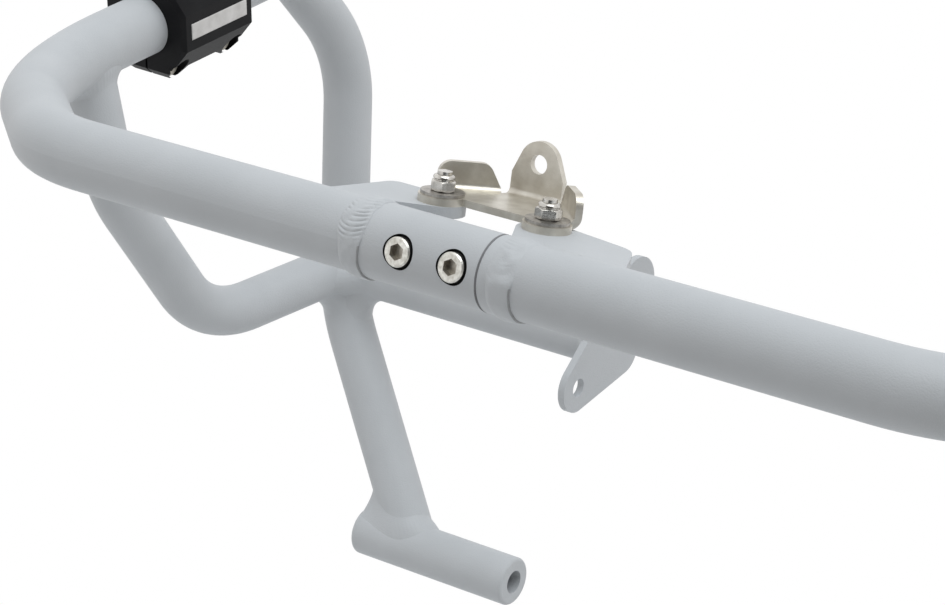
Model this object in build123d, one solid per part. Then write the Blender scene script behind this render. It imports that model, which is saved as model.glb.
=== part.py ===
"""Motorcycle crash bars: two bent steel tube side frames, plugged together in front of the engine,
hung from the bike by a folded stainless bracket and bolted to frame and engine at each side.

Frame: +X to the rider's left, +Y to the rear, +Z up, origin at the centre of the hanger hole in the bracket.
The sizes below are taken from the axis of the straight front bar, at the bike's centre plane.
"""
import os
from math import cos, radians, sin, tan

from build123d import *

# Tube stock
MAIN_OD = 25.4
MAIN_WALL = 2.0
SIDE_OD = 22.0
SIDE_WALL = 2.0

# Main tube: out along the front, round the corner and back along the side, rising; places on this tube and on
# the side tubes are told as a distance in from the side run
SIDE_X = 262.0
SIDE_CORNER_Y = 78.0
FRONT_CORNER_IN = 87.0
SIDE_RISE_DEG = 14.5
MAIN_END_Y = 262.0
FRONT_BEND_R = 48.0
SIDE_BEND_R = 120.0

# Upright tube: from the main tube down past the junction and in to the engine boss
UPRIGHT_TOP_FORWARD = 28.0
UPRIGHT_KNEE = (7.5, 280.3, -0.2)
UPRIGHT_HIP = (12.0, 291.4, -119.2)
UPRIGHT_BEND_R = 60.0

# Brace tube: from under the main tube, down and back to the upright
BRACE_TOP_Y = 111.5
BRACE_KNEE = (10.0, 124.0, -46.0)
BRACE_HEEL = (5.0, 200.0, -117.0)
BRACE_BEND_R = 55.0

# Junction of brace and cross tube, this far up the upright from its hip
JUNCTION_RISE = 18.0

# Cross tube and the plate tab that bolts to the bike's frame, its lobes placed from the cross tube's axis
TAB_OUTER_X = 112.2
TAB_T = 3.2
TAB_LOW_HOLE = (-14.5, -19.0)
TAB_HIGH_HOLE = (24.3, 20.7)
TAB_CORNER = (20.3, -7.7)
TAB_LOW_R = 11.2
TAB_HIGH_R = 13.8
TAB_CORNER_R = 11.3
TAB_HOLE_D = 8.4

# Engine boss: a thick turned tube across the bike
BOSS_OD = 22.0
BOSS_BORE = 10.5
BOSS_INNER_X = 129.7
BOSS_LENGTH = 83.5
BOSS_Y = 276.8
BOSS_Z = -216.6
BOSS_EDGE_R = 1.6
UPRIGHT_FOOT = (59.4, 2.5, 4.2)

# Front joint: a sleeve on the right half takes a spigot on the left half
SEAM_X = 20.0
SLEEVE_OD = 26.0
SLEEVE_LENGTH = 51.0
SPIGOT_D = 16.0
SPIGOT_CLEARANCE = 0.1
SPIGOT_REACH = 44.0
SPIGOT_LEAD = 1.5
SHOULDER_LENGTH = 8.0
PILOT_LENGTH = 10.0
PILOT_CLEARANCE = 0.1
SEAM_CHAMFER = 0.5

# Socket screws through the joint
JOINT_SCREW_FROM_SEAM = 9.8
JOINT_SCREW_PITCH = 21.2
JOINT_SCREW_UP_DEG = 7.0
JOINT_SCREW_D = 6.0
JOINT_HEAD_D = 10.0
JOINT_HEAD_H = 6.0
JOINT_HEAD_PROUD = 0.8
JOINT_SOCKET_AF = 5.0
JOINT_SOCKET_DEPTH = 3.0
JOINT_HEAD_CHAMFER = 0.5
JOINT_RECESS_GAP = 0.9
JOINT_SHANK_GAP = 0.3
JOINT_SCREW_SHORT = 1.0

# Ring welds at the ends of the joint pieces
BEAD_WIDTH = 9.0
BEAD_CROWN = 1.2

# Ears: plates welded to the bar that carry the bracket
EAR_T = 4.0
EAR_TOP_DROP = 0.4
EAR_LOBE_R = 9.8
EAR_LOBE_X = 21.7
BOLT_Y = 22.0
BOLT_MID_X = 1.0
BOLT_PITCH = 42.0
EAR_SLEEVE_GAP = 0.3
RIGHT_EAR_FOOT_GAP = 8.0
RIGHT_EAR_FOOT_LENGTH = 13.5
RIGHT_EAR_CORNER = (8.5, 28.5)
RIGHT_EAR_CORNER_R = 4.0
LEFT_EAR_FOOT_GAP = 2.8
LEFT_EAR_FOOT_LENGTH = 43.2
LEFT_EAR_CORNER = (20.0, 15.5)
LEFT_EAR_CORNER_R = 11.0

# Folded stainless bracket
SHEET_T = 2.5
SHEET_BEND_R = 2.0
BRACKET_LOBE_R = 8.2
BRACKET_FRONT_BACK = 0.2
TONGUE_BACK = 26.6
TONGUE_WIDTH = 20.6
TONGUE_SHOULDER = 10.0
TONGUE_TOP_R = 7.8
HANGER_HOLE_D = 6.6
HANGER_HOLE_RISE = 11.7
WING_LENGTH = 21.8
WING_HEIGHT = 9.2
WING_SLOPE_RUN = 4.6
WING_SLOPE_START = 1.2
WING_NOTCH_OUT = 0.4
WING_NOTCH_FORWARD = 2.0
WING_ANGLE_DEG = 45.0
WING_CORNER_R = 4.5
WING_SLOPE_R = 4.5

# Bracket fasteners
BRACKET_SCREW_D = 5.0
BRACKET_HEAD_D = 9.5
BRACKET_HEAD_H = 2.75
BRACKET_HEAD_CHAMFER = 0.9
BRACKET_SOCKET_AF = 3.0
BRACKET_SOCKET_DEPTH = 1.6
BRACKET_HOLE_GAP = 0.25
BRACKET_SCREW_PROUD = 1.1
WASHER_OD = 15.0
WASHER_T = 1.2
NUT_AF = 8.0
NUT_HEX_H = 3.8
NUT_COLLAR_H = 1.8
NUT_COLLAR_D = 7.4
NUT_TURN_DEG = {"right": 0, "left": 35}

# Clamp-on crash pad: two moulded half shells round the main tube
PAD_MID_Y = 169.0
PAD_LENGTH = 44.6
PAD_WIDTH = 43.0
PAD_HEIGHT = 38.4
PAD_BEVEL_IN = 9.2
PAD_BEVEL_UP = 11.3
PAD_END_CHAMFER = 1.6
PAD_ROLL_DEG = 2.0
PAD_SPLIT = 1.0
PAD_LUG_LENGTH = 12.0
PAD_LUG_DROP = 3.5
PAD_LUG_EDGE = 3.3
PAD_SCREW_D = 5.0
PAD_SCREW_DEPTH = 9.0
PAD_HEAD_D = 8.5
PAD_HEAD_H = 5.0
PAD_HEAD_SEAT = 3.8
PAD_SCREW_IN = 5.5
PAD_HEAD_CHAMFER = 0.4
PAD_SOCKET_AF = 4.0
PAD_SOCKET_DEPTH = 2.5
PAD_SHANK_GAP = 0.25
PAD_HEAD_GAP = 0.4
PAD_SCREW_COVER = 4.5
INLAY_LENGTH = 35.0
INLAY_HEIGHT = 7.0
INLAY_T = 1.6
INLAY_PROUD = 0.4
INLAY_EDGE = 0.3

# Rear end caps of the main tubes
CAP_T = 2.5
CAP_DOME = 3.0
CAP_SPIGOT = 8.0
CAP_CLEARANCE = 0.1

SIDES = {"right": -1, "left": 1}
JOINT_SCREW_XS = (SEAM_X - JOINT_SCREW_FROM_SEAM - JOINT_SCREW_PITCH, SEAM_X - JOINT_SCREW_FROM_SEAM)
EAR_TOP_Z = MAIN_OD / 2 - EAR_TOP_DROP
TONGUE_MID_Y = BOLT_Y + TONGUE_BACK
HANGER_Z = EAR_TOP_Z + SHEET_T + HANGER_HOLE_RISE
FROM_BAR = Pos(0, -TONGUE_MID_Y, -HANGER_Z)
RISE = radians(SIDE_RISE_DEG)
HEX_HALF_DEG = 30


def across(point, side):
    """The same point on the right (-1) or left (+1) half."""
    x, y, z = point
    return (side * x, y, z)


def inboard(point):
    """Point told as a distance in from the side run, a y and a z."""
    inward, y, z = point
    return (SIDE_X - inward, y, z)


def rear_run(y):
    """Point on the axis of the main tube's rising rear run."""
    return (SIDE_X, y, (y - SIDE_CORNER_Y) * tan(RISE))


def rear_run_plane(y, side):
    """Plane square to the rear run: its z runs back along the tube, its x towards the rider's left."""
    return Plane(origin=across(rear_run(y), side), x_dir=(1, 0, 0), z_dir=(0, cos(RISE), sin(RISE)))


def swept(path, diameter):
    """Round bar of one diameter along a path."""
    start = Plane(origin=path @ 0, z_dir=path % 0)
    return sweep(start * Circle(diameter / 2), path=path)


def tube(path, od, wall):
    return swept(path, od) - swept(path, od - 2 * wall)


def bar_x(diameter, x_from, x_to, y=0.0, z=0.0):
    """Round bar across the bike between two x positions."""
    plane = Plane(origin=(min(x_from, x_to), y, z), x_dir=(0, 1, 0), z_dir=(1, 0, 0))
    return extrude(plane * Circle(diameter / 2), abs(x_to - x_from))


def hull_plate(plane, circles, points, thickness):
    """Plate with the outline of a tight string round the given circles and points."""
    outline = Sketch() + [Pos(x, y) * Circle(r) for x, y, r in circles]
    edges = list(outline.edges())
    for here, there in zip(points, points[1:]):
        edges.append(Line(here, there).edge())
    return extrude(plane * make_hull(edges), thickness)


def joint_end_x(side):
    """Where the main tube of this half butts on its joint piece."""
    return SLEEVE_LENGTH - SEAM_X if side < 0 else SEAM_X + SHOULDER_LENGTH


def main_path(side):
    corners = [
        (joint_end_x(side), 0, 0),
        (SIDE_X - FRONT_CORNER_IN, 0, 0),
        (SIDE_X, SIDE_CORNER_Y, 0),
        rear_run(MAIN_END_Y),
    ]
    return FilletPolyline(*[across(p, side) for p in corners], radius=[FRONT_BEND_R, SIDE_BEND_R])


def upright_foot():
    """End of the upright's axis, told out from the boss's inner end and back and up from its axis."""
    out, back, up = UPRIGHT_FOOT
    return (BOSS_INNER_X + out, BOSS_Y + back, BOSS_Z + up)


def upright_path(side):
    corners = [
        rear_run(MAIN_END_Y - UPRIGHT_TOP_FORWARD),
        inboard(UPRIGHT_KNEE),
        inboard(UPRIGHT_HIP),
        upright_foot(),
    ]
    return FilletPolyline(*[across(p, side) for p in corners], radius=[UPRIGHT_BEND_R, UPRIGHT_BEND_R])


def junction():
    """Point on the upright's axis where the brace and the cross tube meet it."""
    hip = Vector(*inboard(UPRIGHT_HIP))
    up = (Vector(*inboard(UPRIGHT_KNEE)) - hip).normalized()
    return tuple(hip + up * JUNCTION_RISE)


def brace_path(side):
    corners = [rear_run(BRACE_TOP_Y), inboard(BRACE_KNEE), inboard(BRACE_HEEL), junction()]
    return FilletPolyline(*[across(p, side) for p in corners], radius=[BRACE_BEND_R, BRACE_BEND_R])


def side_frame(side):
    """Tubes, boss and tab of one half, each coped to the piece that it is welded to."""
    main_solid = swept(main_path(side), MAIN_OD)
    upright_solid = swept(upright_path(side), SIDE_OD)
    brace_solid = swept(brace_path(side), SIDE_OD)
    boss_outer_x = BOSS_INNER_X + BOSS_LENGTH
    boss_solid = bar_x(BOSS_OD, side * BOSS_INNER_X, side * boss_outer_x, BOSS_Y, BOSS_Z)
    boss_bore = bar_x(BOSS_BORE, side * BOSS_INNER_X, side * boss_outer_x, BOSS_Y, BOSS_Z)
    rims = boss_solid.edges().filter_by(GeomType.CIRCLE)
    join_x, join_y, join_z = junction()
    cross_axis = Line((side * join_x, join_y, join_z), (side * TAB_OUTER_X, join_y, join_z))
    return {
        "main_tube": main_solid - swept(main_path(side), MAIN_OD - 2 * MAIN_WALL),
        "upright_tube": tube(upright_path(side), SIDE_OD, SIDE_WALL) - main_solid - boss_solid - end_cap(side),
        "brace_tube": tube(brace_path(side), SIDE_OD, SIDE_WALL) - main_solid - upright_solid,
        "cross_tube": tube(cross_axis, SIDE_OD, SIDE_WALL) - upright_solid - brace_solid,
        "engine_boss": fillet(rims, BOSS_EDGE_R) - boss_bore,
        "frame_tab": frame_tab(side),
    }


def frame_tab(side):
    """Flat plate on the end of the cross tube, with a bolt hole in each of its two lobes."""
    inner_x = side * (TAB_OUTER_X - TAB_T)
    lowest_x = min(inner_x, side * TAB_OUTER_X)
    axis_y, axis_z = junction()[1:]
    plane = Plane(origin=(lowest_x, axis_y, axis_z), x_dir=(0, 1, 0), z_dir=(1, 0, 0))
    lobes = [(*TAB_LOW_HOLE, TAB_LOW_R), (*TAB_CORNER, TAB_CORNER_R), (*TAB_HIGH_HOLE, TAB_HIGH_R)]
    plate = hull_plate(plane, lobes, [], TAB_T)
    for back, up in (TAB_LOW_HOLE, TAB_HIGH_HOLE):
        plate -= bar_x(TAB_HOLE_D, inner_x, side * TAB_OUTER_X, axis_y + back, axis_z + up)
    return plate


def end_cap(side):
    """Domed plug in the open rear end of the main tube."""
    plane = rear_run_plane(MAIN_END_Y, side)
    outer_r = MAIN_OD / 2
    plug_r = outer_r - MAIN_WALL - CAP_CLEARANCE
    dome_r = (outer_r ** 2 + CAP_DOME ** 2) / (2 * CAP_DOME)
    with BuildSketch(Plane.XZ) as profile:
        with BuildLine():
            Polyline((0, CAP_T + CAP_DOME), (0, -CAP_SPIGOT), (plug_r, -CAP_SPIGOT), (plug_r, 0), (outer_r, 0),
                     (outer_r, CAP_T))
            RadiusArc((outer_r, CAP_T), (0, CAP_T + CAP_DOME), -dome_r)
        make_face()
    return plane * revolve(profile.sketch, Axis.Z)


def joint_screw_plane(x):
    """Seat of a joint screw: z points out of the bar through the screw head."""
    tilt = radians(JOINT_SCREW_UP_DEG)
    outward = (0, -cos(tilt), sin(tilt))
    seat = SLEEVE_OD / 2 + JOINT_HEAD_PROUD - JOINT_HEAD_H
    return Plane(origin=(x, seat * outward[1], seat * outward[2]), x_dir=(1, 0, 0), z_dir=outward)


def joint_screw_shank_length():
    """From the seat through the spigot to the back of the sleeve."""
    return SLEEVE_OD + JOINT_HEAD_PROUD - JOINT_HEAD_H - JOINT_SCREW_SHORT


def drilled_x(x, diameter, below, above):
    """Cutter along a joint screw's axis, from below the seat to above it."""
    plane = joint_screw_plane(x)
    return extrude(plane.offset(-below) * Circle(diameter / 2), below + above)


def joint_sleeve():
    """Turned sleeve on the right half: pilot in the tube, bore for the spigot, recesses for the screws."""
    end_x = -joint_end_x(-1)
    bore_d = SPIGOT_D + 2 * SPIGOT_CLEARANCE
    pilot_d = MAIN_OD - 2 * MAIN_WALL - 2 * PILOT_CLEARANCE
    body = bar_x(SLEEVE_OD, end_x, SEAM_X)
    mouth = body.edges().filter_by(GeomType.CIRCLE).sort_by(Axis.X)[-1]
    body = chamfer(mouth, SEAM_CHAMFER)
    body += bar_x(pilot_d, end_x - PILOT_LENGTH, end_x)
    body -= bar_x(bore_d, end_x - PILOT_LENGTH, SEAM_X)
    for x in JOINT_SCREW_XS:
        body -= drilled_x(x, JOINT_HEAD_D + 2 * JOINT_RECESS_GAP, 0, SLEEVE_OD)
        body -= drilled_x(x, JOINT_SCREW_D, SLEEVE_OD, 0)
    return body


def joint_spigot():
    """Turned spigot on the left half: shoulder, pilot in the tube, pin with spot-faced screw seats."""
    shoulder_end = joint_end_x(1)
    pilot_d = MAIN_OD - 2 * MAIN_WALL - 2 * PILOT_CLEARANCE
    shoulder = bar_x(SLEEVE_OD, SEAM_X, shoulder_end)
    rim = shoulder.edges().filter_by(GeomType.CIRCLE).sort_by(Axis.X)[0]
    body = chamfer(rim, SEAM_CHAMFER)
    body += bar_x(pilot_d, shoulder_end, shoulder_end + PILOT_LENGTH)
    pin = bar_x(SPIGOT_D, SEAM_X - SPIGOT_REACH, SEAM_X)
    nose = pin.edges().filter_by(GeomType.CIRCLE).sort_by(Axis.X)[0]
    body += chamfer(nose, SPIGOT_LEAD)
    for x in JOINT_SCREW_XS:
        body -= drilled_x(x, JOINT_HEAD_D + 2 * JOINT_RECESS_GAP, 0, SLEEVE_OD)
        body -= drilled_x(x, JOINT_SCREW_D + 2 * JOINT_SHANK_GAP, SLEEVE_OD, 0)
    return body


def hexagon(across_flats):
    return RegularPolygon(across_flats / 2, 6, major_radius=False)


def socket_screw(plane, shank_d, shank_l, head_d, head_h, socket_af, socket_depth, edge):
    """Cap screw with a hexagon socket, its head standing on the plane."""
    head = extrude(plane * Circle(head_d / 2), head_h)
    top = max(head.faces(), key=lambda face: (face.center() - plane.origin).dot(plane.z_dir))
    head = chamfer(top.edges(), edge)
    socket = plane.offset(head_h - socket_depth) * Rot(0, 0, HEX_HALF_DEG) * hexagon(socket_af)
    head -= extrude(socket, socket_depth)
    return head + extrude(plane * Circle(shank_d / 2), -shank_l)


def joint_screws():
    shank = joint_screw_shank_length()
    return [
        socket_screw(joint_screw_plane(x), JOINT_SCREW_D, shank, JOINT_HEAD_D, JOINT_HEAD_H,
                     JOINT_SOCKET_AF, JOINT_SOCKET_DEPTH, JOINT_HEAD_CHAMFER)
        for x in JOINT_SCREW_XS
    ]


def ring_bead(side, neighbours):
    """Weld bead round the butt between the main tube and its joint piece."""
    mid_x = side * joint_end_x(side)
    foot_r = MAIN_OD / 2
    floor_r = foot_r - MAIN_WALL / 2
    half = BEAD_WIDTH / 2
    with BuildSketch(Plane.XY) as profile:
        with BuildLine():
            ThreePointArc((mid_x - half, foot_r), (mid_x, foot_r + BEAD_CROWN), (mid_x + half, foot_r))
            Line((mid_x + half, foot_r), (mid_x + half, floor_r))
            Line((mid_x + half, floor_r), (mid_x - half, floor_r))
            Line((mid_x - half, floor_r), (mid_x - half, foot_r))
        make_face()
    ring = revolve(profile.sketch, Axis.X)
    ring -= bar_x(MAIN_OD, mid_x, side * (joint_end_x(side) + BEAD_WIDTH))
    return ring - neighbours


def bolt_x(side):
    return BOLT_MID_X + side * BOLT_PITCH / 2


def ear(side):
    """Plate that stands out behind the bar to carry one end of the bracket."""
    if side < 0:
        near_x = joint_end_x(side) + RIGHT_EAR_FOOT_GAP
        far_x = near_x + RIGHT_EAR_FOOT_LENGTH
        corner_in, corner_y = RIGHT_EAR_CORNER
        corner_r = RIGHT_EAR_CORNER_R
    else:
        near_x = SEAM_X + LEFT_EAR_FOOT_GAP
        far_x = near_x + LEFT_EAR_FOOT_LENGTH
        corner_in, corner_y = LEFT_EAR_CORNER
        corner_r = LEFT_EAR_CORNER_R
    circles = [(side * EAR_LOBE_X, BOLT_Y, EAR_LOBE_R), (side * (far_x - corner_in), corner_y, corner_r)]
    points = [(side * near_x, 0), (side * far_x, 0)]
    plate = hull_plate(Plane.XY.offset(EAR_TOP_Z - EAR_T), circles, points, EAR_T)
    plate -= bar_x(MAIN_OD, side * joint_end_x(side), side * (far_x + MAIN_OD))
    plate -= bar_x(SLEEVE_OD, SEAM_X, side * joint_end_x(side))
    if side > 0:
        plate -= bar_x(SLEEVE_OD + 2 * EAR_SLEEVE_GAP, SEAM_X - SLEEVE_LENGTH, SEAM_X)
    hole_d = BRACKET_SCREW_D + 2 * BRACKET_HOLE_GAP
    hole = Plane.XY.offset(EAR_TOP_Z - EAR_T) * Pos(bolt_x(side), BOLT_Y) * Circle(hole_d / 2)
    return plate - extrude(hole, EAR_T)


def folded_flange(width, height):
    """Strip of sheet that lies on z = 0 in front of x = 0 and is folded up behind it, along y."""
    outer_r = SHEET_BEND_R + SHEET_T
    with BuildSketch(Plane.XZ) as profile:
        with BuildLine():
            Line((-outer_r, 0), (-outer_r, SHEET_T))
            RadiusArc((-outer_r, SHEET_T), (-SHEET_T, outer_r), -SHEET_BEND_R)
            Line((-SHEET_T, outer_r), (-SHEET_T, height))
            Line((-SHEET_T, height), (0, height))
            Line((0, height), (0, outer_r))
            RadiusArc((0, outer_r), (-outer_r, 0), outer_r)
        make_face()
    return extrude(profile.sketch, width / 2, both=True)


def tongue():
    """Hanger tongue on the fold at x = 0: rounded about its hole, full width up to its shoulders."""
    outer_r = SHEET_BEND_R + SHEET_T
    hole_z = SHEET_T + HANGER_HOLE_RISE
    face = Plane(origin=(0, 0, hole_z), x_dir=(0, 1, 0), z_dir=(-1, 0, 0))
    half = TONGUE_WIDTH / 2
    shoulder = hole_z - TONGUE_SHOULDER
    corners = [(-half, shoulder), (-half, hole_z), (half, hole_z), (half, shoulder)]
    outline = hull_plate(face, [(0, 0, TONGUE_TOP_R)], corners, outer_r)
    hole = extrude(face * Circle(HANGER_HOLE_D / 2), outer_r)
    return folded_flange(TONGUE_WIDTH, hole_z + TONGUE_TOP_R) & outline - hole


def wing():
    """Stiffening wing on the fold at x = 0: it slopes up from the end near the tongue, at +y."""
    outer_r = SHEET_BEND_R + SHEET_T
    top = SHEET_T + WING_HEIGHT
    edge = FilletPolyline(
        (0, SHEET_T + WING_SLOPE_START), (WING_SLOPE_RUN, top), (WING_LENGTH, top), (WING_LENGTH, 0),
        radius=[WING_SLOPE_R, WING_CORNER_R])
    foot = Polyline((WING_LENGTH, 0), (0, 0), (0, SHEET_T + WING_SLOPE_START))
    outline = make_face([*edge.edges(), *foot.edges()])
    side = Plane(origin=(0, WING_LENGTH / 2, 0), x_dir=(0, -1, 0), z_dir=(-1, 0, 0))
    return folded_flange(WING_LENGTH, top) & extrude(side * outline, outer_r)


def front_bracket():
    """Sheet bracket: a lobed base on the ears, with a hanger tongue and two wings folded up behind."""
    outer_r = SHEET_BEND_R + SHEET_T
    tongue_back = TONGUE_MID_Y + SHEET_T / 2
    fold_y = tongue_back - outer_r
    front_y = BOLT_Y + BRACKET_FRONT_BACK
    turn = radians(WING_ANGLE_DEG)
    inner = Vector(TONGUE_WIDTH / 2 + WING_NOTCH_OUT, fold_y - WING_NOTCH_FORWARD)
    outer = inner + Vector(cos(turn), -sin(turn)) * WING_LENGTH
    back = (inner + outer) / 2 + Vector(sin(turn), cos(turn)) * outer_r
    left_wing = Plane(origin=(back.X, back.Y, EAR_TOP_Z), x_dir=(sin(turn), cos(turn), 0)) * wing()
    bracket = Plane(origin=(0, tongue_back, EAR_TOP_Z), x_dir=(0, 1, 0)) * tongue()
    for side in SIDES.values():
        x = bolt_x(side)
        half = make_face(Polyline(
            (0, front_y), (x - side * BRACKET_LOBE_R, front_y), (x, BOLT_Y), (side * outer.X, outer.Y),
            (side * inner.X, inner.Y), (side * TONGUE_WIDTH / 2, fold_y), (0, fold_y), close=True))
        half += Pos(x, BOLT_Y) * Circle(BRACKET_LOBE_R)
        half -= Pos(x, BOLT_Y) * Circle(BRACKET_SCREW_D / 2 + BRACKET_HOLE_GAP)
        bracket += extrude(Plane.XY.offset(EAR_TOP_Z) * half, SHEET_T)
        bracket += left_wing if side > 0 else mirror(left_wing, Plane.YZ)
    return bracket


def bracket_screws():
    """Button-head screws up through ears and bracket."""
    stack = EAR_T + SHEET_T + WASHER_T + NUT_HEX_H + NUT_COLLAR_H + BRACKET_SCREW_PROUD
    screws = []
    for side in SIDES.values():
        under_ear = (bolt_x(side), BOLT_Y, EAR_TOP_Z - EAR_T)
        seat = Plane(origin=under_ear, x_dir=(1, 0, 0), z_dir=(0, 0, -1))
        screws.append(socket_screw(seat, BRACKET_SCREW_D, stack, BRACKET_HEAD_D, BRACKET_HEAD_H,
                                   BRACKET_SOCKET_AF, BRACKET_SOCKET_DEPTH, BRACKET_HEAD_CHAMFER))
    return screws


def bracket_washers():
    washers = []
    for side in SIDES.values():
        plane = Plane(origin=(bolt_x(side), BOLT_Y, EAR_TOP_Z + SHEET_T))
        ring = Circle(WASHER_OD / 2) - Circle(BRACKET_SCREW_D / 2 + BRACKET_HOLE_GAP)
        washers.append(extrude(plane * ring, WASHER_T))
    return washers


def bracket_nuts():
    """Lock nuts: a hexagon with a plain collar that holds the locking ring."""
    nuts = []
    for name, side in SIDES.items():
        plane = Plane(origin=(bolt_x(side), BOLT_Y, EAR_TOP_Z + SHEET_T + WASHER_T))
        body = extrude(plane * Rot(0, 0, NUT_TURN_DEG[name]) * hexagon(NUT_AF), NUT_HEX_H)
        collar = extrude(plane.offset(NUT_HEX_H) * Circle(NUT_COLLAR_D / 2), NUT_COLLAR_H)
        rim = collar.edges().filter_by(GeomType.CIRCLE).sort_by(Axis.Z)[-1]
        nut = body + fillet(rim, NUT_COLLAR_H / 2)
        nuts.append(nut - extrude(plane * Circle(BRACKET_SCREW_D / 2), NUT_HEX_H + NUT_COLLAR_H))
    return nuts


def pad_plane(side):
    """Middle of the pad: z runs back along the tube, x towards the bike and a little down."""
    roll = radians(PAD_ROLL_DEG)
    inward = (-side * cos(roll), sin(roll) * sin(RISE), -sin(roll) * cos(RISE))
    return Plane(origin=across(rear_run(PAD_MID_Y), side), x_dir=inward, z_dir=(0, cos(RISE), sin(RISE)))


def pad_screw_places():
    """Along the pad and up from its middle, one screw near each end above and below the tube."""
    along = PAD_LENGTH / 2 - PAD_SCREW_IN
    height = PAD_HEIGHT / 2 + PAD_LUG_DROP - PAD_SCREW_COVER
    return [(end * along, edge * height) for end in (-1, 1) for edge in (-1, 1)]


def pad_screw_plane(plane, along, height):
    """Seat of a pad screw: z points out of the bike-side shell."""
    seat = plane.from_local_coords(Vector(PAD_HEAD_SEAT, height, along))
    return Plane(origin=seat, x_dir=plane.z_dir, z_dir=plane.x_dir)


def pad_shell(plane, towards):
    """Half shell on the bike's side (+1) or outside (-1) of the split, with inlay pocket and screw holes."""
    half_w = PAD_WIDTH / 2
    half_h = PAD_HEIGHT / 2
    flat_h = half_h - PAD_BEVEL_UP
    flat_w = half_w - PAD_BEVEL_IN
    section = make_face(Polyline(
        (PAD_SPLIT / 2, -half_h), (flat_w, -half_h), (half_w, -flat_h), (half_w, flat_h), (flat_w, half_h),
        (PAD_SPLIT / 2, half_h), close=True))
    block = extrude(section, PAD_LENGTH / 2, both=True)
    ends = block.faces().filter_by(Axis.Z).edges().filter_by(lambda edge: edge.center().X > PAD_SPLIT)
    block = chamfer(ends, PAD_END_CHAMFER)
    lug_h = half_h + PAD_LUG_DROP
    lug_w = flat_w - PAD_LUG_DROP * PAD_BEVEL_IN / PAD_BEVEL_UP
    lug_section = make_face(Polyline(
        (PAD_SPLIT / 2, -lug_h), (lug_w, -lug_h), (flat_w, -half_h), (flat_w, half_h), (lug_w, lug_h),
        (PAD_SPLIT / 2, lug_h), close=True))
    lug = extrude(lug_section, PAD_LUG_LENGTH / 2, both=True)
    ends = lug.faces().filter_by(Axis.Y).edges().filter_by(Axis.X)
    lug = chamfer(ends, PAD_LUG_EDGE)
    for end in (-1, 1):
        block += Pos(0, 0, end * (PAD_LENGTH - PAD_LUG_LENGTH) / 2) * lug
    pocket = Pos(half_w + INLAY_PROUD - INLAY_T / 2, 0, 0) * Box(INLAY_T, INLAY_HEIGHT, INLAY_LENGTH)
    block -= pocket
    shell = plane * (block if towards > 0 else mirror(block, Plane.YZ))
    shell -= extrude(plane.offset(-PAD_LENGTH) * Circle(MAIN_OD / 2), 2 * PAD_LENGTH)
    for along, height in pad_screw_places():
        seat = pad_screw_plane(plane, along, height)
        if towards > 0:
            shell -= extrude(seat * Circle(PAD_HEAD_D / 2 + PAD_HEAD_GAP), PAD_WIDTH)
            shell -= extrude(seat * Circle(PAD_SCREW_D / 2 + PAD_SHANK_GAP), -PAD_WIDTH)
        else:
            shell -= extrude(seat * Circle(PAD_SCREW_D / 2), -(PAD_HEAD_SEAT + PAD_SCREW_DEPTH))
    return shell


def pad_inlays(plane):
    """Plain bright strips set in the broad faces of the two shells."""
    strip = Pos(PAD_WIDTH / 2 + INLAY_PROUD - INLAY_T / 2, 0, 0) * Box(INLAY_T, INLAY_HEIGHT, INLAY_LENGTH)
    rim = strip.faces().sort_by(Axis.X)[-1].edges()
    strip = chamfer(rim, INLAY_EDGE)
    return [plane * strip, plane * mirror(strip, Plane.YZ)]


def pad_screws(plane):
    shank = PAD_HEAD_SEAT + PAD_SCREW_DEPTH
    return [
        socket_screw(pad_screw_plane(plane, along, height), PAD_SCREW_D, shank, PAD_HEAD_D, PAD_HEAD_H,
                     PAD_SOCKET_AF, PAD_SOCKET_DEPTH, PAD_HEAD_CHAMFER)
        for along, height in pad_screw_places()
    ]


def write(node, shape):
    solids = shape if isinstance(shape, list) else [shape]
    group = Compound(children=[FROM_BAR * solid for solid in solids])
    export_step(group if len(solids) > 1 else FROM_BAR * shape, os.path.join("parts", node + ".step"))


def main():
    os.makedirs("parts", exist_ok=True)
    sleeve = joint_sleeve()
    spigot = joint_spigot()
    nodes = {
        "right_joint_sleeve": sleeve,
        "left_joint_spigot": spigot,
        "joint_screws": joint_screws(),
        "front_bracket": front_bracket(),
        "bracket_screws": bracket_screws(),
        "bracket_washers": bracket_washers(),
        "bracket_nuts": bracket_nuts(),
    }
    for name, side in SIDES.items():
        for piece, shape in side_frame(side).items():
            nodes[name + "_" + piece] = shape
        nodes[name + "_end_cap"] = end_cap(side)
        nodes[name + "_ear"] = ear(side)
        nodes[name + "_joint_bead"] = ring_bead(side, [sleeve if side < 0 else spigot, nodes[name + "_ear"]])
        pad = pad_plane(side)
        nodes[name + "_pad_inner_shell"] = pad_shell(pad, 1)
        nodes[name + "_pad_outer_shell"] = pad_shell(pad, -1)
        nodes[name + "_pad_inlays"] = pad_inlays(pad)
        nodes[name + "_pad_screws"] = pad_screws(pad)
    for node, shape in nodes.items():
        write(node, shape)


main()
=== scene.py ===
from math import atan2, cos, exp, hypot, pi, radians, sin, tan, tanh

import bmesh
import bpy
from mathutils import Matrix, Vector
from mathutils.bvhtree import BVHTree
from mathutils.noise import noise as lumps


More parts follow.
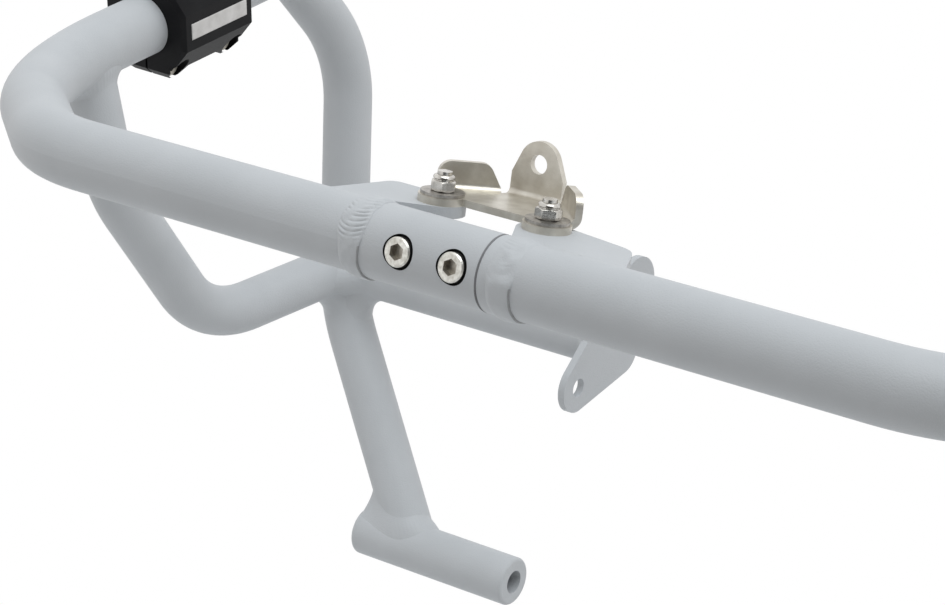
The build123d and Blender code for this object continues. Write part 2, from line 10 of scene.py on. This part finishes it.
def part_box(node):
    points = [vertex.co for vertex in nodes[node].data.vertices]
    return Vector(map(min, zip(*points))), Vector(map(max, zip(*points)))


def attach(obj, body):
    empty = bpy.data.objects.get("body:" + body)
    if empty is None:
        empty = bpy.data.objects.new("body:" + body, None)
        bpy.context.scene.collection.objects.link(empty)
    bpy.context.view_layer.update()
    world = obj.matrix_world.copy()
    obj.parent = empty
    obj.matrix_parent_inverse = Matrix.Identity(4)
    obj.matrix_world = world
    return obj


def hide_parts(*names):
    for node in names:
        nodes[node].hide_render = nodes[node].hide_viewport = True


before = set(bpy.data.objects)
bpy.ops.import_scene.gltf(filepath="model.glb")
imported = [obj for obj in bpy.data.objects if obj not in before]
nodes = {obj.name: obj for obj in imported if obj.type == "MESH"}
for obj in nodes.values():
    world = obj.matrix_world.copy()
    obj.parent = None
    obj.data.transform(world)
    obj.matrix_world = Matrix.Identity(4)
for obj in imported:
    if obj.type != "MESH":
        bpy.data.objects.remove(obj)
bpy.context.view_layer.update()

# Bent and welded frame: steel tubes, engine bosses, frame tabs and ears, blasted and powder coated after
# welding. The coat is matte with a fine grain, a cool light grey, and clouds a little where it lies thicker.
CLOUD_DETAIL = 4.0
CLOUD_FROM = 0.3
CLOUD_TO = 0.7
GRAIN_DETAIL = 2.0
GRAIN_STRENGTH = 0.5


def mottle(tree, place, scale, detail):
    """Noise of one scale that stays with the piece."""
    texture = tree.nodes.new("ShaderNodeTexNoise")
    texture.inputs["Scale"].default_value = scale
    texture.inputs["Detail"].default_value = detail
    tree.links.new(place.outputs["Object"], texture.inputs["Vector"])
    return texture.outputs["Fac"]


def ramp(tree, fac, low, high):
    """Colour from low to high over the middle of a mottle."""
    tone = tree.nodes.new("ShaderNodeValToRGB")
    tone.color_ramp.elements[0].position = CLOUD_FROM
    tone.color_ramp.elements[0].color = (*low, 1.0)
    tone.color_ramp.elements[1].position = CLOUD_TO
    tone.color_ramp.elements[1].color = (*high, 1.0)
    tree.links.new(fac, tone.inputs["Fac"])
    return tone.outputs["Color"]


def surface(name, low, high, roughness, metallic, cloud_scale, grain_scale, grain_height):
    """Material of a clouded colour, from low to high, with a fine grain."""
    material = bpy.data.materials.new(name)
    material.use_nodes = True
    tree = material.node_tree
    shader = tree.nodes["Principled BSDF"]
    shader.inputs["Roughness"].default_value = roughness
    shader.inputs["Metallic"].default_value = metallic
    place = tree.nodes.new("ShaderNodeTexCoord")
    colour = ramp(tree, mottle(tree, place, cloud_scale, CLOUD_DETAIL), low, high)
    tree.links.new(colour, shader.inputs["Base Color"])
    bump = tree.nodes.new("ShaderNodeBump")
    bump.inputs["Strength"].default_value = GRAIN_STRENGTH
    bump.inputs["Distance"].default_value = grain_height
    tree.links.new(mottle(tree, place, grain_scale, GRAIN_DETAIL), bump.inputs["Height"])
    tree.links.new(bump.outputs["Normal"], shader.inputs["Normal"])
    return material


def finish_node(name, material):
    """Gives a node of the frame its one material."""
    node = nodes[name]
    node.data.materials.clear()
    node.data.materials.append(material)


coat = surface("powder_coat", low=(0.478, 0.495, 0.512), high=(0.510, 0.526, 0.543), roughness=0.55,
               metallic=0.0, cloud_scale=38.0, grain_scale=1700.0, grain_height=0.0002)
for side in ("right", "left"):
    for piece in ("main_tube", "upright_tube", "brace_tube", "cross_tube", "engine_boss", "frame_tab", "ear"):
        finish_node(side + "_" + piece, coat)

# Fillet welds where the tubes are coped together: a bead of weld metal laid round each joint in short steps,
# so that it shows a fine ripple, then coated with the frame.
RIPPLE_PITCH = 0.0016
RIPPLE_HEIGHT = 0.00007
ROWS_PER_RIPPLE = 4
ROW_STEPS = 10
BULGE_TO_ONE = 6.75
TUBE_TOE_SINK = 0.015
RUN_TOE_SINK = 0.05
ROOT_SUNK = 0.0010
WELD_REACH = 0.030
REACH_STEPS = 60
TOE_SPREAD = 0.3
SHALLOW_CUT = 0.5
SHALLOW_CROWN = 0.0008
EDGE_ANGLE = radians(28.0)


def add_piece(name, mesh_builder, material):
    """Object at the origin from a finished bmesh, shaded smooth and fixed to the frame."""
    for face in mesh_builder.faces:
        face.smooth = True
    mesh = bpy.data.meshes.new(name)
    mesh_builder.to_mesh(mesh)
    mesh_builder.free()
    mesh.set_sharp_from_angle(angle=EDGE_ANGLE)
    piece = bpy.data.objects.new(name, mesh)
    bpy.context.scene.collection.objects.link(piece)
    mesh.materials.append(material)
    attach(piece, "root")
    return piece


def ring_mesh(rows):
    """Closed ring through rows of points, each row running round the section of the bead."""
    builder = bmesh.new()
    grid = [[builder.verts.new(p) for p in row] for row in rows]
    for row, after in zip(grid, grid[1:] + grid[:1]):
        for j in range(len(row)):
            k = (j + 1) % len(row)
            builder.faces.new((row[j], row[k], after[k], after[j]))
    bmesh.ops.recalc_face_normals(builder, faces=builder.faces)
    return builder


def wall_of(names):
    """Search tree over the walls of some nodes."""
    builder = bmesh.new()
    for name in names:
        builder.from_mesh(nodes[name].data)
    tree = BVHTree.FromBMesh(builder)
    builder.free()
    return tree


def where_walls_meet(wall, foot, along):
    """Where a line down the tube first meets the wall, or passes nearest to it, with the normal there."""
    place, normal, _, _ = wall.ray_cast(foot + along * WELD_REACH, -along, WELD_REACH)
    if place is None:
        steps = [foot + along * (WELD_REACH * k / REACH_STEPS) for k in range(REACH_STEPS + 1)]
        place, normal, _, _ = min((wall.find_nearest(p) for p in steps), key=lambda found: found[3])
    return place, normal


def weld_row(tube_toe, root, run_toe, outward, bulge):
    """One cut through a fillet bead: a curve from toe to toe, fullest near the run, closed below."""
    row = [root - outward * ROOT_SUNK]
    for j in range(ROW_STEPS + 1):
        s = j / ROW_STEPS
        curve = tube_toe * (1 - s) ** 2 + root * (2 * s * (1 - s)) + run_toe * s ** 2
        row.append(curve + outward * (bulge * BULGE_TO_ONE * s * s * (1 - s)))
    return row


def coped_weld(start, along, tube_r, runs, leg, lean, fill, heap):
    """Bead round a tube where it leaves the nodes it is coped to.

    On the side that lean points to, the bead is longer, and heap makes it fuller.
    """
    along = along.normalized()
    first = along.orthogonal().normalized()
    second = along.cross(first)
    wall = wall_of(runs)
    count = ROWS_PER_RIPPLE * round(2 * pi * tube_r / RIPPLE_PITCH)
    rows = []
    for i in range(count):
        turn = 2 * pi * i / count
        tube_out = first * cos(turn) + second * sin(turn)
        foot = start + tube_out * tube_r
        root, run_out = where_walls_meet(wall, foot, along)
        away = tube_out - run_out * tube_out.dot(run_out)
        away -= (along - run_out * along.dot(run_out)) * TOE_SPREAD
        away.normalize()
        reach = leg * (1 + lean.dot(tube_out))
        tube_toe = foot + along * ((root - foot).dot(along) + reach) - tube_out * (reach * TUBE_TOE_SINK)
        shallow = max(tube_out.dot(run_out), 0.0)
        run_place, run_normal, _, _ = wall.find_nearest(root + away * (reach * (1 - SHALLOW_CUT * shallow)))
        run_toe = run_place - run_normal * (reach * RUN_TOE_SINK)
        outward = (tube_out + run_out).normalized()
        corner = root + (along * fill + away * (heap * max(lean.dot(tube_out), 0.0) ** 2)) * reach
        ripple = RIPPLE_HEIGHT * abs(sin(pi * i / ROWS_PER_RIPPLE))
        rows.append(weld_row(tube_toe, corner, run_toe, outward, ripple + SHALLOW_CROWN * shallow))
    return ring_mesh(rows)


spigot_low, spigot_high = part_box("left_joint_spigot")
BAR_Y = (spigot_low.y + spigot_high.y) / 2
BAR_Z = (spigot_low.z + spigot_high.z) / 2


def bar_point(x, y, z):
    """Millimetres from the axis of the front bar, as a point of the frame."""
    return Vector((x / 1000, BAR_Y + y / 1000, BAR_Z + z / 1000))


SIDE_X = 262.0
RISE_FROM_Y = 78.0
RISE = radians(14.5)


def rear_run(y):
    """Point on the axis of the left main tube's rising rear run."""
    return bar_point(SIDE_X, y, (y - RISE_FROM_Y) * tan(RISE))


def on_side(hand, vector):
    """A vector of the left half, mirrored where the hand is the right one."""
    return Vector((hand * vector.x, vector.y, vector.z))


MAIN_R = 0.0127
SIDE_R = 0.0110
JUNCTION_UP = 0.018
TAB_X = 0.1122
PLAIN_FILL = 0.12
upright_top = rear_run(234.0)
upright_knee = bar_point(254.5, 280.3, -0.2)
upright_hip = bar_point(250.0, 291.4, -119.2)
upright_foot = bar_point(189.1, 279.3, -212.4)
brace_top = rear_run(111.5)
brace_knee = bar_point(252.0, 124.0, -46.0)
brace_heel = bar_point(257.0, 200.0, -117.0)
junction = upright_hip + (upright_knee - upright_hip).normalized() * JUNCTION_UP
tab_face = Vector((TAB_X, junction.y, junction.z))
outboard = Vector((1.0, 0.0, 0.0))
below = Vector((0.0, 0.0, -1.0))
even = Vector()
welds = (
    dict(name="upright_top_weld", start=upright_top, along=upright_knee - upright_top, runs=["main_tube"],
         leg=0.0050, lean=even, fill=PLAIN_FILL, heap=0.0),
    dict(name="boss_weld", start=upright_foot, along=upright_hip - upright_foot, runs=["engine_boss"],
         leg=0.0090, lean=outboard * 0.38, fill=0.55, heap=1.6),
    dict(name="brace_top_weld", start=brace_top, along=brace_knee - brace_top, runs=["main_tube"],
         leg=0.0055, lean=even, fill=PLAIN_FILL, heap=0.0),
    dict(name="brace_weld", start=junction, along=brace_heel - junction, runs=["upright_tube"],
         leg=0.0082, lean=outboard * 0.5 + below * 0.4, fill=0.22, heap=0.0),
    dict(name="cross_weld", start=junction, along=-outboard, runs=["upright_tube", "brace_tube"],
         leg=0.0092, lean=below * 0.7, fill=PLAIN_FILL, heap=0.0),
    dict(name="tab_weld", start=tab_face, along=outboard, runs=["frame_tab"],
         leg=0.0035, lean=even, fill=PLAIN_FILL, heap=0.0),
)
for side, hand in (("right", -1), ("left", 1)):
    for weld in welds:
        bead = coped_weld(on_side(hand, weld["start"]), on_side(hand, weld["along"]), SIDE_R,
                          [side + "_" + run for run in weld["runs"]], weld["leg"],
                          on_side(hand, weld["lean"]), weld["fill"], weld["heap"])
        add_piece(side + "_" + weld["name"], bead, coat)

# Front joint: a turned sleeve on the right half takes the spigot of the left half, and each is butt welded to
# its tube by a ring bead. The bead is laid in two runs, rippled above, more so on the right, and heavy and
# smooth below, with a lump where the runs meet and a dark grey painted shade in the crease of the lower one.
TURNED_R = 0.0130
STEP_SLOPE = 2
BEAD_DEEP = 0.0010
BEAD_TOE = 0.0002
CROWN_R = 0.0140
BEAD_R = 0.01424
RING_ACROSS = 40
RING_STEPS = 480
SHADED_CREASE_ROWS = 4
RUNS_MEET = 0.10
RUN_BLEND = 7
RUN_END = 0.0004
RUN_END_TURN = 0.16
RUN_END_MIDDLE = 0.3
RUN_END_ACROSS = 0.5
RIGHT_TOE_DOME = 1.1
BEAD_APART = 100
WIDTH_WANDER = 0.16
WIDTH_SCALE = 2.2
TOES_APART = 5
CROWN_LEAST = 0.65
CROWN_IN_FRONT = 0.35
CROWN_WANDER = 0.30
CROWN_SCALE = 1.7
RIPPLE_BOW = 0.0024
PITCH_WANDER = 0.7
PITCH_SCALE = 3.1
RIPPLE_MEAN = 0.5
RIPPLE_WANDER = 1.5
RIPPLE_SCALE = 2.6
RIPPLE_SKEW = 1.5
RIPPLE_LEAST = 0.05
LUMP_HEIGHT = 0.00035
LUMP_ACROSS = 1.6
LUMP_ROUND = 3.4
LUMP_APART = 90
# Dark grey painted shade for the crease at the lower left toe of each ring bead.
painted_crease_shade = surface("weld_crease_painted_shade", low=(0.30, 0.305, 0.31), high=(0.38, 0.385, 0.39), roughness=0.7,
                 metallic=0.0, cloud_scale=300.0, grain_scale=1300.0, grain_height=0.0002)
for name in ("right_joint_sleeve", "left_joint_spigot"):
    finish_node(name, coat)


def plain_ring():
    """Ring round the bar, from -1 to 1 across, closed inside, with painted shade in the crease at the lower
    left toe.
    """
    builder = bmesh.new()
    front_y = BAR_Y - MAIN_R
    section = [builder.verts.new((2 * j / RING_ACROSS - 1, front_y, BAR_Z)) for j in range(RING_ACROSS + 1)]
    edges = [builder.edges.new(pair) for pair in zip(section, section[1:])]
    inner = [builder.verts.new((end, BAR_Y - MAIN_R + BEAD_DEEP, BAR_Z)) for end in (1, -1)]
    edges.append(builder.edges.new((section[-1], inner[0])))
    edges.append(builder.edges.new(inner))
    edges.append(builder.edges.new((inner[1], section[0])))
    bmesh.ops.spin(builder, geom=section + inner + edges, cent=(0, BAR_Y, BAR_Z), axis=(1, 0, 0),
                   angle=2 * pi, steps=RING_STEPS, use_merge=True)
    bmesh.ops.recalc_face_normals(builder, faces=builder.faces)
    for face in builder.faces:
        middle = face.calc_center_median()
        # The last rows at the lower left toe take the second material, a painted shade.
        if 1 - SHADED_CREASE_ROWS / RING_ACROSS < middle.x < 1 and middle.z < BAR_Z and middle.y < BAR_Y:
            face.material_index = 1
    return builder


def ring_bead(middle_x, towards_joint, upper, lower, ripple, pitch):
    """Bead round the bar from runs above and below, each (width, crown, steepness at the left toe)."""
    builder = plain_ring()
    for vert in builder.verts:
        s = vert.co.x
        turn = atan2(vert.co.z - BAR_Z, BAR_Y - vert.co.y)
        sunk = hypot(vert.co.y - BAR_Y, vert.co.z - BAR_Z) < MAIN_R - BEAD_DEEP / 2
        round_bar = Vector((cos(turn), sin(turn), middle_x * BEAD_APART))
        share = 0.5 + 0.5 * tanh(RUN_BLEND * sin(turn - RUNS_MEET))
        width, crown, steep = (u * share + d * (1 - share) for u, d in zip(upper, lower))
        to_joint = s * towards_joint
        toe_wander = lumps(round_bar * WIDTH_SCALE + Vector((0, 0, TOES_APART * (s > 0))))
        half = width / 2 * (1 + WIDTH_WANDER * toe_wander)
        crown *= (CROWN_LEAST + CROWN_IN_FRONT * max(cos(turn), share)
                  + CROWN_WANDER * lumps(round_bar * CROWN_SCALE))
        dome = (1 - s * s) ** (1 / steep if s > 0 else RIGHT_TOE_DOME)
        laid = turn * TURNED_R + RIPPLE_BOW * (1 - s * s)
        steps_laid = laid / pitch + PITCH_WANDER * lumps(round_bar * PITCH_SCALE)
        patch = lumps(round_bar * RIPPLE_SCALE + Vector((0, 0, RIPPLE_SKEW * s)))
        strength = max(RIPPLE_MEAN + RIPPLE_WANDER * patch, RIPPLE_LEAST) * share
        wall = MAIN_R + (TURNED_R - MAIN_R) * min(max(0.5 + STEP_SLOPE * to_joint, 0.0), 1.0)
        room = CROWN_R - wall
        height = room * tanh(crown * dome / room)
        height += ripple * strength * (abs(sin(pi * steps_laid)) - 0.5) * (1 - s ** 4)
        lump = lumps(Vector((s * LUMP_ACROSS, turn * LUMP_ROUND, middle_x * LUMP_APART)))
        height += LUMP_HEIGHT * lump * (1 - s ** 4)
        from_end = ((turn - RUNS_MEET) / RUN_END_TURN) ** 2 + ((s - RUN_END_MIDDLE) / RUN_END_ACROSS) ** 2
        height += RUN_END * exp(-from_end)
        r = wall - BEAD_DEEP if sunk else min(wall + height, BEAD_R) - BEAD_TOE * s ** 8
        vert.co = (middle_x + s * half, BAR_Y - r * cos(turn), BAR_Z + r * sin(turn))
    return builder


right_ring = ring_bead(middle_x=-0.0310, towards_joint=1, upper=(0.0114, 0.0014, 1.6),
                       lower=(0.0086, 0.0022, 3.2), ripple=0.00055, pitch=0.0019)
right_bead = add_piece("right_ring_weld", right_ring, coat)
right_bead.data.materials.append(painted_crease_shade)
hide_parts("right_joint_bead")
left_ring = ring_bead(middle_x=0.0284, towards_joint=-1, upper=(0.0104, 0.0007, 1.0),
                      lower=(0.0092, 0.0020, 2.6), ripple=0.00007, pitch=0.0020)
left_bead = add_piece("left_ring_weld", left_ring, coat)
left_bead.data.materials.append(painted_crease_shade)
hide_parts("left_joint_bead")

# Joint screws: bright zinc-plated socket screws, pulled up in recesses of the sleeve. The recess walls and
# the sides of the heads carry a near-black painted shade, and the sockets of the heads a darker painted
# shade.
# The chamfer of the sleeve's mouth, where the halves meet, carries a dark grey painted shade as a line.
zinc = surface("bright_zinc", low=(0.50, 0.48, 0.43), high=(0.84, 0.83, 0.78), roughness=0.28,
               metallic=0.75, cloud_scale=700.0, grain_scale=2600.0, grain_height=0.0001)
# Near-black painted shade for the recess walls and the sides of the screw heads.
painted_shade_black = surface("painted_shade_black", low=(0.012, 0.012, 0.012), high=(0.030, 0.029, 0.027), roughness=0.5,
                     metallic=0.0, cloud_scale=300.0, grain_scale=2200.0, grain_height=0.00008)
# Darker steel as painted shade inside the sockets of the screw heads.
socket_painted_shade = surface("socket_painted_shade", low=(0.31, 0.28, 0.235), high=(0.64, 0.61, 0.55), roughness=0.32,
                       metallic=0.7, cloud_scale=600.0, grain_scale=2200.0, grain_height=0.00008)
# Dark grey painted shade along the chamfer where sleeve and spigot meet.
seam_painted_shade = surface("seam_painted_shade", low=(0.18, 0.18, 0.185), high=(0.25, 0.25, 0.26), roughness=0.7,
                    metallic=0.0, cloud_scale=200.0, grain_scale=2200.0, grain_height=0.00008)
finish_node("joint_screws", zinc)


def paint_faces(name, material, chosen):
    """Gives the faces that the test picks, by middle and normal, a material of their own."""
    mesh = nodes[name].data
    mesh.materials.append(material)
    for face in mesh.polygons:
        if chosen(face.center, face.normal):
            face.material_index = len(mesh.materials) - 1


SCREW_TILT = radians(7.0)
SCREW_XS = (-0.0110, 0.0102)
SCREW_OUT = Vector((0.0, -cos(SCREW_TILT), sin(SCREW_TILT)))
HEAD_TOP = 0.0138
RECESS_R = 0.0059
SOCKET_R = 0.0029
SIDE_FACING = 0.3
SEAM_X = 0.0200
SEAM_CHAMFER = 0.0005
HAIR = 0.0001


def from_screw(point):
    """Distance out along the nearer joint screw, from the bar's axis, and off to the side of it."""
    offset = point - bar_point(0.0, 0.0, 0.0)
    offset.x = min((point.x - x for x in SCREW_XS), key=abs)
    out = offset.dot(SCREW_OUT)
    return out, (offset - SCREW_OUT * out).length


def in_recess(point, normal):
    out, aside = from_screw(point)
    return out > 0 and aside < RECESS_R + HAIR


def head_side(point, normal):
    _, aside = from_screw(point)
    return aside > SOCKET_R + SEAM_CHAMFER and abs(normal.dot(SCREW_OUT)) < SIDE_FACING


def in_socket(point, normal):
    out, aside = from_screw(point)
    return aside < SOCKET_R and 0 < out < HEAD_TOP - HAIR


def at_seam(point, normal):
    off_axis = hypot(point.y - BAR_Y, point.z - BAR_Z)
    return abs(point.x - SEAM_X) < SEAM_CHAMFER and TURNED_R - SEAM_CHAMFER < off_axis < TURNED_R


# Recess walls and head sides get the near-black painted shade, sockets and the seam chamfer their own painted
# shade.
paint_faces("right_joint_sleeve", painted_shade_black, in_recess)
paint_faces("left_joint_spigot", painted_shade_black, in_recess)
paint_faces("right_joint_sleeve", seam_painted_shade, at_seam)
paint_faces("joint_screws", painted_shade_black, head_side)
paint_faces("joint_screws", socket_painted_shade, in_socket)

# Hanger bracket: stainless sheet, laser cut, folded and tumbled to a satin face, held by two stainless screws
# with broad washers.
satin = surface("satin_stainless", low=(0.50, 0.465, 0.40), high=(0.68, 0.65, 0.585), roughness=0.36,
                metallic=0.8, cloud_scale=160.0, grain_scale=1400.0, grain_height=0.00008)
bright = surface("bright_stainless", low=(0.46, 0.44, 0.41), high=(0.74, 0.72, 0.68), roughness=0.22,
                 metallic=0.95, cloud_scale=420.0, grain_scale=2400.0, grain_height=0.00008)
washer_steel = surface("washer_steel", low=(0.26, 0.245, 0.225), high=(0.48, 0.455, 0.42), roughness=0.34,
                       metallic=0.85, cloud_scale=520.0, grain_scale=2400.0, grain_height=0.0001)
finish_node("front_bracket", satin)
finish_node("bracket_screws", bright)
finish_node("bracket_washers", washer_steel)

# Lock nuts of the bracket: stainless, turned with a chamfer at both ends and a rolled collar over the locking
# ring, then milled to a hexagon.
NUT_FLAT_R = 0.0040
NUT_CHAMFER_R = 0.0037
NUT_CHAMFER_FALL = radians(30.0)
NUT_CHAMFER_STEPS = 6
NUT_COLLAR_R = 0.0038
NUT_COLLAR_ROUND = 0.0012
NUT_COLLAR_STEPS = 5
NUT_BORE_R = 0.0024
NUT_HEX_H = 0.0038
NUT_GROOVE = 0.0003
NUT_TURN_STEPS = 120
NUT_Y = 22.0
RIGHT_NUT_X = -20.0
LEFT_NUT_X = 22.0
LEFT_NUT_TURN = radians(35.0)
nuts_low, nuts_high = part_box("bracket_nuts")
nut_corner_r = NUT_FLAT_R / cos(pi / 6)
nut_h = nuts_high.z - nuts_low.z
chamfer = [NUT_CHAMFER_R + (nut_corner_r - NUT_CHAMFER_R) * k / NUT_CHAMFER_STEPS
           for k in range(NUT_CHAMFER_STEPS + 1)]
chamfer_fall = [(r - NUT_CHAMFER_R) * tan(NUT_CHAMFER_FALL) for r in chamfer]
nut_profile = [(NUT_BORE_R, 0.0)]
nut_profile += list(zip(chamfer, chamfer_fall))
nut_profile += [(r, NUT_HEX_H - fall) for r, fall in zip(reversed(chamfer), reversed(chamfer_fall))]
nut_profile.append((NUT_COLLAR_R - NUT_GROOVE, NUT_HEX_H))
nut_profile.append((NUT_COLLAR_R - NUT_GROOVE, NUT_HEX_H + NUT_GROOVE))
for k in range(NUT_COLLAR_STEPS + 1):
    bend = pi / 2 * k / NUT_COLLAR_STEPS
    nut_profile.append((NUT_COLLAR_R - NUT_COLLAR_ROUND * (1 - cos(bend)),
                        nut_h - NUT_COLLAR_ROUND * (1 - sin(bend))))
nut_profile.append((NUT_BORE_R, nut_h - NUT_COLLAR_ROUND / 2))


def lock_nut(middle, turned):
    """Nut turned from its profile, with the round pulled in to six flats."""
    builder = bmesh.new()
    section = [builder.verts.new((middle.x + r, middle.y, middle.z + h)) for r, h in nut_profile]
    edges = [builder.edges.new(pair) for pair in zip(section, section[1:] + section[:1])]
    bmesh.ops.spin(builder, geom=section + edges, cent=middle, axis=(0, 0, 1), angle=2 * pi,
                   steps=NUT_TURN_STEPS, use_merge=True)
    bmesh.ops.recalc_face_normals(builder, faces=builder.faces)
    for vert in builder.verts:
        off = vert.co - middle
        r = hypot(off.x, off.y)
        from_flat = (atan2(off.y, off.x) - turned) % (pi / 3) - pi / 6
        pull = min(1.0, NUT_FLAT_R / cos(from_flat) / r)
        vert.co.x = middle.x + off.x * pull
        vert.co.y = middle.y + off.y * pull
    return builder


for name, x, turned in (("right_lock_nut", RIGHT_NUT_X, 0.0), ("left_lock_nut", LEFT_NUT_X, LEFT_NUT_TURN)):
    nut_foot = bar_point(x, NUT_Y, 0.0)
    nut_foot.z = nuts_low.z
    nut = add_piece(name, lock_nut(nut_foot, turned), bright)
    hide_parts("bracket_nuts")

# Crash pads: two half shells moulded in black polymer, drawn together round the tube by four socket screws,
# each with a plain satin strip let into its broad face.
POLYMER_GLOSS = 0.10
polymer = surface("black_polymer", low=(0.007, 0.007, 0.008), high=(0.013, 0.013, 0.014), roughness=0.45,
                  metallic=0.0, cloud_scale=60.0, grain_scale=1500.0, grain_height=0.0001)
polymer.node_tree.nodes["Principled BSDF"].inputs["Specular IOR Level"].default_value = POLYMER_GLOSS
dull_zinc = surface("dull_zinc", low=(0.36, 0.335, 0.29), high=(0.52, 0.495, 0.44), roughness=0.42,
                    metallic=0.6, cloud_scale=500.0, grain_scale=2400.0, grain_height=0.0001)
strip = surface("satin_strip", low=(0.48, 0.47, 0.46), high=(0.60, 0.59, 0.58), roughness=0.35,
                metallic=0.6, cloud_scale=200.0, grain_scale=1800.0, grain_height=0.00005)
for side in ("right", "left"):
    finish_node(side + "_pad_inner_shell", polymer)
    finish_node(side + "_pad_outer_shell", polymer)
    finish_node(side + "_pad_inlays", strip)
    finish_node(side + "_pad_screws", dull_zinc)

# End caps: domed plugs moulded in the same black polymer as the pads,
# pushed into the open rear ends of the main tubes.
for side in ("right", "left"):
    finish_node(side + "_end_cap", polymer)

# Camera at the photograph's angle: in front of the bike on the rider's left, a little above the bar, with a
# long lens.
PHOTO_WIDTH_PX = 945.0
FOCAL_PX = 2850.0
SENSOR_MM = 36.0
NEAREST = 0.05
FARTHEST = 50.0
right = Vector((0.8137, 0.5690, 0.1185))
down = Vector((0.2387, -0.1411, -0.9608))
ahead = Vector((-0.5300, 0.8101, -0.2506))
camera_place = bar_point(497.2, -742.4, 218.1)
camera_data = bpy.data.cameras.new("camera")
camera_data.sensor_width = SENSOR_MM
camera_data.lens = FOCAL_PX * camera_data.sensor_width / PHOTO_WIDTH_PX
camera_data.clip_start = NEAREST
camera_data.clip_end = FARTHEST
camera = bpy.data.objects.new("camera", camera_data)
camera_turn = Matrix((right, -down, -ahead)).transposed().to_4x4()
camera.matrix_world = Matrix.Translation(camera_place) @ camera_turn
bpy.context.scene.collection.objects.link(camera)
bpy.context.scene.camera = camera

# Soft studio light: a white surround, shown as it is to the camera and in the metal, whose fill is cooler
# from above and weaker and warmer from below, and one large lamp high above the front left.
FILL_UP = (-0.15, 0.25, 0.957)
FILL_FROM_BELOW = (0.40, 0.38, 0.345, 1.0)
FILL_AT_HORIZON = (0.83, 0.825, 0.82, 1.0)
FILL_FROM_ABOVE = (0.66, 0.68, 0.70, 1.0)
LAMP_ACROSS = 3.0
LAMP_COLOUR = (0.93, 0.975, 1.0)
LAMP_WATTS = 62.0
LAMP_PLACE = (0.9, -0.7, 2.9)
LAMP_AIM = Vector((0.0, 0.1, -0.1))
world = bpy.data.worlds.new("studio")
bpy.context.scene.world = world
world.use_nodes = True
sky = world.node_tree
backdrop = sky.nodes["Background"]
backdrop.inputs["Color"].default_value = (1.0, 1.0, 1.0, 1.0)
backdrop.inputs["Strength"].default_value = 1.0
fill = sky.nodes.new("ShaderNodeBackground")
fill.inputs["Strength"].default_value = 1.0
where = sky.nodes.new("ShaderNodeTexCoord")
toward = sky.nodes.new("ShaderNodeVectorMath")
toward.operation = "DOT_PRODUCT"
toward.inputs[1].default_value = FILL_UP
sky.links.new(where.outputs["Generated"], toward.inputs[0])
level = sky.nodes.new("ShaderNodeMapRange")
level.inputs["From Min"].default_value = -1.0
level.inputs["From Max"].default_value = 1.0
sky.links.new(toward.outputs["Value"], level.inputs["Value"])
shade = sky.nodes.new("ShaderNodeValToRGB")
shade.color_ramp.elements[0].position = 0.0
shade.color_ramp.elements[0].color = FILL_FROM_BELOW
horizon = shade.color_ramp.elements.new(0.5)
horizon.color = FILL_AT_HORIZON
shade.color_ramp.elements[2].color = FILL_FROM_ABOVE
sky.links.new(level.outputs["Result"], shade.inputs["Fac"])
sky.links.new(shade.outputs["Color"], fill.inputs["Color"])
path = sky.nodes.new("ShaderNodeLightPath")
shown = sky.nodes.new("ShaderNodeMath")
shown.operation = "MAXIMUM"
sky.links.new(path.outputs["Is Camera Ray"], shown.inputs[0])
sky.links.new(path.outputs["Is Transmission Ray"], shown.inputs[1])
reflected = sky.nodes.new("ShaderNodeMath")
reflected.operation = "MAXIMUM"
sky.links.new(shown.outputs["Value"], reflected.inputs[0])
sky.links.new(path.outputs["Is Glossy Ray"], reflected.inputs[1])
choose = sky.nodes.new("ShaderNodeMixShader")
sky.links.new(reflected.outputs["Value"], choose.inputs["Fac"])
sky.links.new(fill.outputs["Background"], choose.inputs[1])
sky.links.new(backdrop.outputs["Background"], choose.inputs[2])
sky.links.new(choose.outputs["Shader"], sky.nodes["World Output"].inputs["Surface"])
lamp_data = bpy.data.lights.new("key", "AREA")
lamp_data.shape = "DISK"
lamp_data.size = LAMP_ACROSS
lamp_data.color = LAMP_COLOUR
lamp_data.energy = LAMP_WATTS
lamp = bpy.data.objects.new("key", lamp_data)
lamp.location = LAMP_PLACE
lamp.rotation_euler = (LAMP_AIM - lamp.location).to_track_quat("-Z", "Y").to_euler()
bpy.context.scene.collection.objects.link(lamp)

# Dark card behind the camera, as wide as the unlit side of a light tent.
# It shades the metal and isn't seen itself.
CARD_HALF = 0.9
CARD_BEHIND = 0.5
card_builder = bmesh.new()
bmesh.ops.create_grid(card_builder, x_segments=1, y_segments=1, size=CARD_HALF)
bmesh.ops.transform(card_builder, verts=card_builder.verts,
                    matrix=Matrix.Translation(camera.location - ahead * CARD_BEHIND) @ camera_turn)
card_mesh = bpy.data.meshes.new("card")
card_builder.to_mesh(card_mesh)
card_builder.free()
card = bpy.data.objects.new("card", card_mesh)
bpy.context.scene.collection.objects.link(card)
card.visible_camera = False
card.data.materials.append(painted_shade_black)

# Pale painted floor, a disc well below the bars as they hang from their bracket,
# out of the photograph's frame.
FLOOR_R = 1.0
FLOOR_Z = -0.6
FLOOR_SIDES = 96
FLOOR_COLOUR = (0.80, 0.80, 0.80, 1.0)
FLOOR_ROUGHNESS = 0.9
disc = bmesh.new()
bmesh.ops.create_circle(disc, cap_ends=True, segments=FLOOR_SIDES, radius=FLOOR_R)
bmesh.ops.translate(disc, verts=disc.verts, vec=(0.0, 0.0, FLOOR_Z))
floor_mesh = bpy.data.meshes.new("floor")
disc.to_mesh(floor_mesh)
disc.free()
floor = bpy.data.objects.new("floor", floor_mesh)
bpy.context.scene.collection.objects.link(floor)
paint = bpy.data.materials.new("floor_paint")
paint.use_nodes = True
paint.node_tree.nodes["Principled BSDF"].inputs["Base Color"].default_value = FLOOR_COLOUR
paint.node_tree.nodes["Principled BSDF"].inputs["Roughness"].default_value = FLOOR_ROUGHNESS
floor.data.materials.append(paint)

bpy.context.scene.view_settings.view_transform = "Standard"
